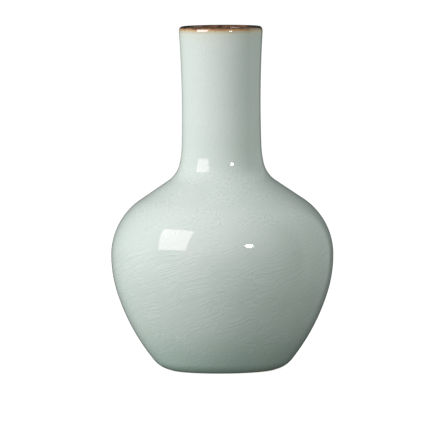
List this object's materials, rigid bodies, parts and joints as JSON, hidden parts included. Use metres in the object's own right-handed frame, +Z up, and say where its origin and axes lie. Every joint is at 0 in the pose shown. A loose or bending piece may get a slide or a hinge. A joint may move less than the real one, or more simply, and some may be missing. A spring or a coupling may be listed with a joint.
{
  "type": "bottle vase",
  "caption": "Tall crackle-glazed celadon bottle vase: a round body on a bare foot ring, a long straight neck and a brown mouth rim.",
  "frame": {"origin": "centre of the foot ring, on the surface that the vase stands on", "axes": "+Z up along the axis of the vase, from the foot to the mouth; the vase is round, so +X and +Y are alike"},
  "size_m": [0.2264, 0.2264, 0.35],
  "materials": {
    "clay_body": "unglazed fired body, matt, warm grey",
    "slip": "fired joining slip, matt, pale",
    "bare_foot": "unglazed foot, flashed orange brown in the firing",
    "celadon": "thick glossy grey-green glaze with a fine crackle",
    "lining_glaze": "thinner glossy grey-green glaze",
    "iron_dressing": "glossy iron-brown glaze, amber where it runs thin"
  },
  "bodies": {
    "root": {"foot_ring": "bare_foot", "foot_joint_slip": "slip", "base_disc": "clay_body", "base_glaze": "celadon", "lower_body": "clay_body", "belly_joint_slip": "slip", "upper_body": "clay_body", "neck_joint_slip": "slip", "neck": "clay_body", "lip_dressing": "iron_dressing", "outer_glaze": "celadon", "inner_glaze": "lining_glaze"}
  },
  "joints": []
}
